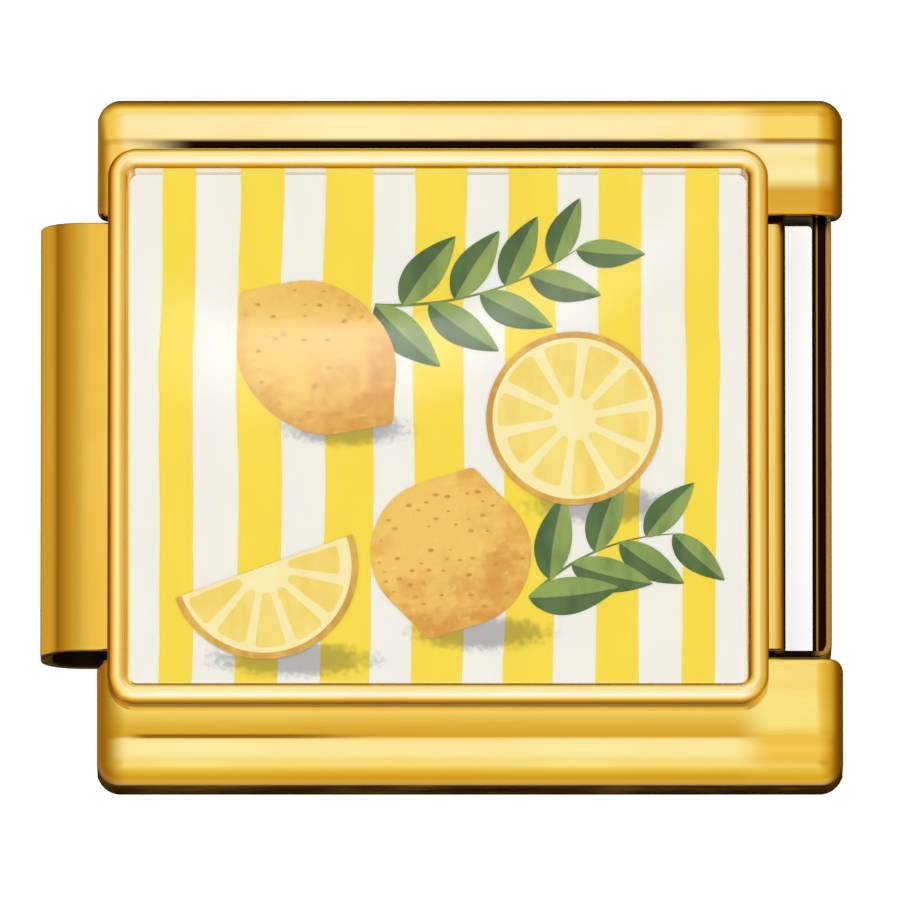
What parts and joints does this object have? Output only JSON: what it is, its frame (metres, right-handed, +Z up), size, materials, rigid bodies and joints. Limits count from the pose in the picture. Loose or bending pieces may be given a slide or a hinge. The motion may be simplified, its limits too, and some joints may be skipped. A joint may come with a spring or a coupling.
{
  "type": "charm bracelet link",
  "caption": "Gold-tone charm bracelet link with a striped fruit picture under a clear domed cover, an open sleeve and sliding hook staples.",
  "frame": {"origin": "middle of the whole link's box, on the surface that the link lies on", "axes": "+X along the bracelet towards the hook staples, +Y across the bracelet, +Z up out of the picture"},
  "size_m": [0.0104, 0.009, 0.0026],
  "materials": {
    "stamped_gold": "polished gold plating on stamped sheet",
    "frame_gold": "polished gold plating",
    "printed_picture": "printed in flat colours",
    "clear_cover": "clear glossy resin",
    "sleeve_gold": "polished gold plating on rolled sheet",
    "staple_gold": "gold plating on flat wire"
  },
  "bodies": {
    "link": {"shell": "stamped_gold", "sleeve": "sleeve_gold", "picture_frame": "frame_gold", "picture_plate": "printed_picture", "clear_cover": "clear_cover"},
    "hooks": {"far_staple": "staple_gold", "near_staple": "staple_gold"}
  },
  "joints": [
    {"name": "staple_slide", "type": "slide", "parent": "link", "child": "hooks", "axis": [1, 0, 0], "range_m": [0, 0.0004], "stiffness_N_per_m": 500}
  ]
}
